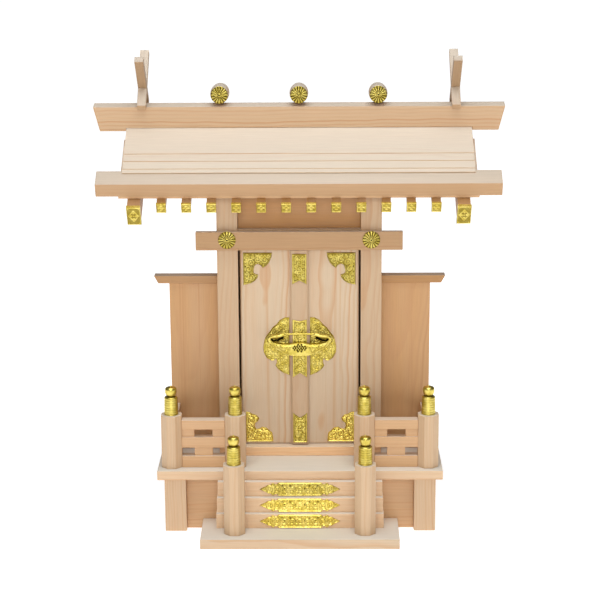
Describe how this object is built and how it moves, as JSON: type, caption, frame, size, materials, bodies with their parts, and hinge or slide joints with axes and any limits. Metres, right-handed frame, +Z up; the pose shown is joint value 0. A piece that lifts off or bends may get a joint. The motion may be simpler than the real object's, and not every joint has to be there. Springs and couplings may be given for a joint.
{
  "type": "household shinto shrine",
  "caption": "Pale wooden household shrine with a pitched roof, crossed ridge finials, hinged double doors, railed veranda, stair and gilt fittings.",
  "frame": {"origin": "on the ground, under the middle of the whole shrine's width and depth", "axes": "+Z up, +X to the viewer's right, +Y to the back; the doors face -Y"},
  "size_m": [0.4, 0.2288, 0.454],
  "materials": {
    "wood": "planed pale cypress, unvarnished",
    "gilt": "gilt brass, bright"
  },
  "bodies": {
    "shrine": {"base_board": "wood", "step_lower": "wood", "step_middle": "wood", "step_upper": "wood", "newel_left": "wood", "newel_right": "wood", "leg_left": "wood", "leg_right": "wood", "plinth_front": "wood", "plinth_left": "wood", "plinth_right": "wood", "plinth_back": "wood", "floor_board": "wood", "rail_post_outer_left": "wood", "rail_post_inner_left": "wood", "rail_post_outer_right": "wood", "rail_post_inner_right": "wood", "railing_front_left": "wood", "railing_front_right": "wood", "railing_side_left": "wood", "railing_side_right": "wood", "sill": "wood", "door_head": "wood", "pillar_left": "wood", "pillar_right": "wood", "lintel": "wood", "frieze": "wood", "wall_left": "wood", "wall_right": "wood", "wall_back": "wood", "wing_left": "wood", "wing_right": "wood", "wing_cap_left": "wood", "wing_cap_right": "wood", "roof_front": "wood", "roof_back": "wood", "eave_front": "wood", "eave_back": "wood", "rafters_front": "wood", "rafters_back": "wood", "bargeboard_left": "wood", "bargeboard_right": "wood", "ridge_board": "wood", "ridge_billet_left": "wood", "ridge_billet_middle": "wood", "ridge_billet_right": "wood", "finial_front_left": "wood", "finial_back_left": "wood", "finial_front_right": "wood", "finial_back_right": "wood", "newel_cap_left": "gilt", "newel_cap_right": "gilt", "rail_cap_outer_left": "gilt", "rail_cap_inner_left": "gilt", "rail_cap_outer_right": "gilt", "rail_cap_inner_right": "gilt"},
    "door_left": {"door_left": "wood"},
    "door_right": {"door_right": "wood", "astragal": "wood", "lock": "gilt"}
  },
  "joints": [
    {"name": "door_right_hinge", "type": "hinge", "parent": "shrine", "child": "door_right", "pos_m": [0.0548, -0.01235, 0.1715], "axis": [0, 0, 1], "range_deg": [0, 75]},
    {"name": "door_left_hinge", "type": "hinge", "parent": "shrine", "child": "door_left", "pos_m": [-0.0548, -0.01235, 0.1715], "axis": [0, 0, -1], "range_deg": [0, 75]}
  ],
  "couplings": [
    {"joint": "door_left_hinge", "follows": "door_right_hinge", "ratio": 1}
  ]
}
